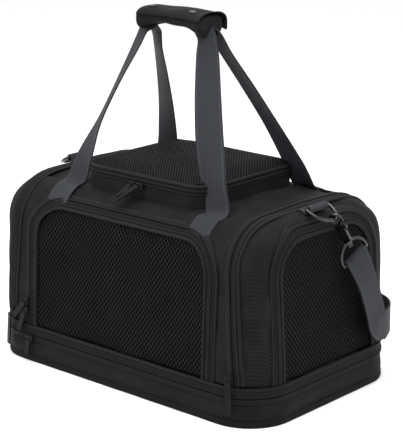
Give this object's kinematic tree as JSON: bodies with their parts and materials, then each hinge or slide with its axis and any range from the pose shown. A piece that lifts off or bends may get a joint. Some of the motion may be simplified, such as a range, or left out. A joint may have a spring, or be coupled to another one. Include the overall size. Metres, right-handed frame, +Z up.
{
  "type": "pet carrier bag",
  "caption": "Soft-sided pet carrier bag with a zip-off base tray, a tunnel hood with mesh doors in front, top and ends, carrying loops and a clip-on shoulder strap.",
  "frame": {"origin": "middle of the flat bottom of the base tray, on the surface it stands on", "axes": "+X along the bag towards the right end, -Y towards the front with the large mesh door, +Z up"},
  "size_m": [0.5254, 0.3326, 0.5],
  "materials": {
    "ripstop": "matt coated ripstop polyester",
    "air_mesh": "knitted spacer mesh",
    "binding": "woven edge binding",
    "piping": "fabric-covered piping",
    "zip_tape": "zip tape with a nylon coil",
    "webbing": "twill nylon webbing",
    "cushion": "quilted fleece",
    "board": "plain sheet",
    "gunmetal": "polished black nickel",
    "slider_metal": "black enamel with cord pulls"
  },
  "bodies": {
    "base": {"base_tray": "ripstop", "floor_board": "board", "base_binding": "binding", "base_zip_lower_half": "zip_tape"},
    "cushion": {"floor_cushion": "cushion"},
    "base_slider": {"base_zip_slider": "slider_metal"},
    "hood": {"base_zip_upper_half": "zip_tape", "hood_rim_piping": "piping", "front_panel": "ripstop", "back_panel": "ripstop", "top_panel": "ripstop", "top_collar": "ripstop", "top_collar_zip_half": "zip_tape", "arch_zip_hood_halves": "zip_tape", "front_panel_zip_half": "zip_tape", "handle_anchors": "webbing", "shoulder_strap": "webbing", "strap_slider": "gunmetal"},
    "front_door": {"front_door_mesh": "air_mesh", "front_door_piping": "piping", "front_door_zip_half": "zip_tape"},
    "front_sliders": {"front_door_sliders": "slider_metal"},
    "top_door": {"top_door_mesh": "air_mesh", "top_door_piping": "piping", "top_door_zip_half": "zip_tape"},
    "top_sliders": {"top_door_sliders": "slider_metal"},
    "front_handle": {"front_handle": "webbing"},
    "back_handle": {"back_handle": "webbing", "handle_wrap": "ripstop"},
    "right_end": {"right_end_panel": "ripstop", "right_arch_piping": "piping", "right_arch_zip_end_half": "zip_tape", "right_end_panel_zip_half": "zip_tape", "right_ring_tab": "webbing", "right_strap_end": "webbing"},
    "right_arch_slider": {"right_arch_slider": "slider_metal"},
    "right_end_door": {"right_end_door_mesh": "air_mesh", "right_end_door_piping": "piping", "right_end_door_zip_half": "zip_tape"},
    "right_end_sliders": {"right_end_door_sliders": "slider_metal"},
    "right_ring": {"right_d_ring": "gunmetal", "right_snap_hook": "gunmetal"},
    "right_gate": {"right_snap_gate": "gunmetal"},
    "right_eye": {"right_swivel_eye": "gunmetal"},
    "left_end": {"left_end_panel": "ripstop", "left_arch_piping": "piping", "left_arch_zip_end_half": "zip_tape", "left_end_panel_zip_half": "zip_tape", "left_ring_tab": "webbing", "left_strap_end": "webbing"},
    "left_arch_slider": {"left_arch_slider": "slider_metal"},
    "left_end_door": {"left_end_door_mesh": "air_mesh", "left_end_door_piping": "piping", "left_end_door_zip_half": "zip_tape"},
    "left_end_sliders": {"left_end_door_sliders": "slider_metal"},
    "left_ring": {"left_d_ring": "gunmetal", "left_snap_hook": "gunmetal"},
    "left_gate": {"left_snap_gate": "gunmetal"},
    "left_eye": {"left_swivel_eye": "gunmetal"}
  },
  "joints": [
    {"name": "cushion_lift", "type": "slide", "parent": "base", "child": "cushion", "axis": [0, 0, 1], "range_m": [0, 0.07]},
    {"name": "base_zip_run", "type": "slide", "parent": "base", "child": "base_slider", "axis": [1, 0, 0], "range_m": [0, 0.32]},
    {"name": "hood_lift", "type": "hinge", "parent": "base", "child": "hood", "pos_m": [0, 0.1548, 0.03985], "axis": [-1, 0, 0], "range_deg": [0, 45]},
    {"name": "front_door_fold", "type": "hinge", "parent": "hood", "child": "front_door", "pos_m": [0, -0.15567, 0.0542], "axis": [1, 0, 0], "range_deg": [0, 100]},
    {"name": "front_zip_run", "type": "slide", "parent": "hood", "child": "front_sliders", "axis": [0, 0.0628, 0.998], "range_m": [0, 0.09]},
    {"name": "top_door_fold", "type": "hinge", "parent": "hood", "child": "top_door", "pos_m": [0, 0.1, 0.2798], "axis": [-1, 0, 0], "range_deg": [0, 100]},
    {"name": "top_zip_run", "type": "slide", "parent": "hood", "child": "top_sliders", "axis": [1, 0, 0], "range_m": [0, 0.07]},
    {"name": "front_handle_fold", "type": "hinge", "parent": "hood", "child": "front_handle", "pos_m": [0, -0.11721, 0.25592], "axis": [1, 0, 0], "range_deg": [0, 116], "deforming": ["handle_wrap"]},
    {"name": "back_handle_fold", "type": "hinge", "parent": "hood", "child": "back_handle", "pos_m": [0, 0.11721, 0.25592], "axis": [-1, 0, 0], "range_deg": [0, 116]},
    {"name": "right_end_fold", "type": "hinge", "parent": "hood", "child": "right_end", "pos_m": [0.25066, 0, 0.0542], "axis": [0, 1, 0], "range_deg": [0, 80], "deforming": ["shoulder_strap"]},
    {"name": "right_arch_zip_run", "type": "slide", "parent": "hood", "child": "right_arch_slider", "axis": [-0.0732, 0.0158, 0.9972], "range_m": [0, 0.06]},
    {"name": "right_end_door_fold", "type": "hinge", "parent": "right_end", "child": "right_end_door", "pos_m": [0.24386, 0, 0.0542], "axis": [0, -1, 0], "range_deg": [0, 80]},
    {"name": "right_end_zip_run", "type": "slide", "parent": "right_end", "child": "right_end_sliders", "axis": [-0.0621, 0, 0.9981], "range_m": [0, 0.06]},
    {"name": "right_ring_swing", "type": "hinge", "parent": "right_end", "child": "right_ring", "pos_m": [0.22112, 0, 0.26385], "axis": [0, -1, 0], "range_deg": [0, 45], "deforming": ["right_strap_end"]},
    {"name": "right_gate_slide", "type": "slide", "parent": "right_ring", "child": "right_gate", "axis": [0.0896, 0.5278, -0.8446], "range_m": [0, 0.005], "stiffness_N_per_m": 150, "springref_m": -0.004},
    {"name": "right_eye_swivel", "type": "hinge", "parent": "right_ring", "child": "right_eye", "pos_m": [0.24467, 0.01043, 0.24917], "axis": [0.0896, 0.5278, -0.8446], "range_deg": [-12, 12]},
    {"name": "left_end_fold", "type": "hinge", "parent": "hood", "child": "left_end", "pos_m": [-0.25066, 0, 0.0542], "axis": [0, -1, 0], "range_deg": [0, 80], "deforming": ["shoulder_strap"]},
    {"name": "left_arch_zip_run", "type": "slide", "parent": "hood", "child": "left_arch_slider", "axis": [0.0732, 0.0158, 0.9972], "range_m": [0, 0.06]},
    {"name": "left_end_door_fold", "type": "hinge", "parent": "left_end", "child": "left_end_door", "pos_m": [-0.24386, 0, 0.0542], "axis": [0, 1, 0], "range_deg": [0, 80]},
    {"name": "left_end_zip_run", "type": "slide", "parent": "left_end", "child": "left_end_sliders", "axis": [0.0621, 0, 0.9981], "range_m": [0, 0.06]},
    {"name": "left_ring_swing", "type": "hinge", "parent": "left_end", "child": "left_ring", "pos_m": [-0.22112, 0, 0.26385], "axis": [0, 1, 0], "range_deg": [0, 45], "deforming": ["left_strap_end"]},
    {"name": "left_gate_slide", "type": "slide", "parent": "left_ring", "child": "left_gate", "axis": [-0.0896, 0.5278, -0.8446], "range_m": [0, 0.005], "stiffness_N_per_m": 150, "springref_m": -0.004},
    {"name": "left_eye_swivel", "type": "hinge", "parent": "left_ring", "child": "left_eye", "pos_m": [-0.24467, 0.01043, 0.24917], "axis": [-0.0896, 0.5278, -0.8446], "range_deg": [-12, 12]}
  ],
  "couplings": [
    {"joint": "front_handle_fold", "follows": "top_door_fold", "ratio": 1.15},
    {"joint": "back_handle_fold", "follows": "top_door_fold", "ratio": 1.15}
  ]
}
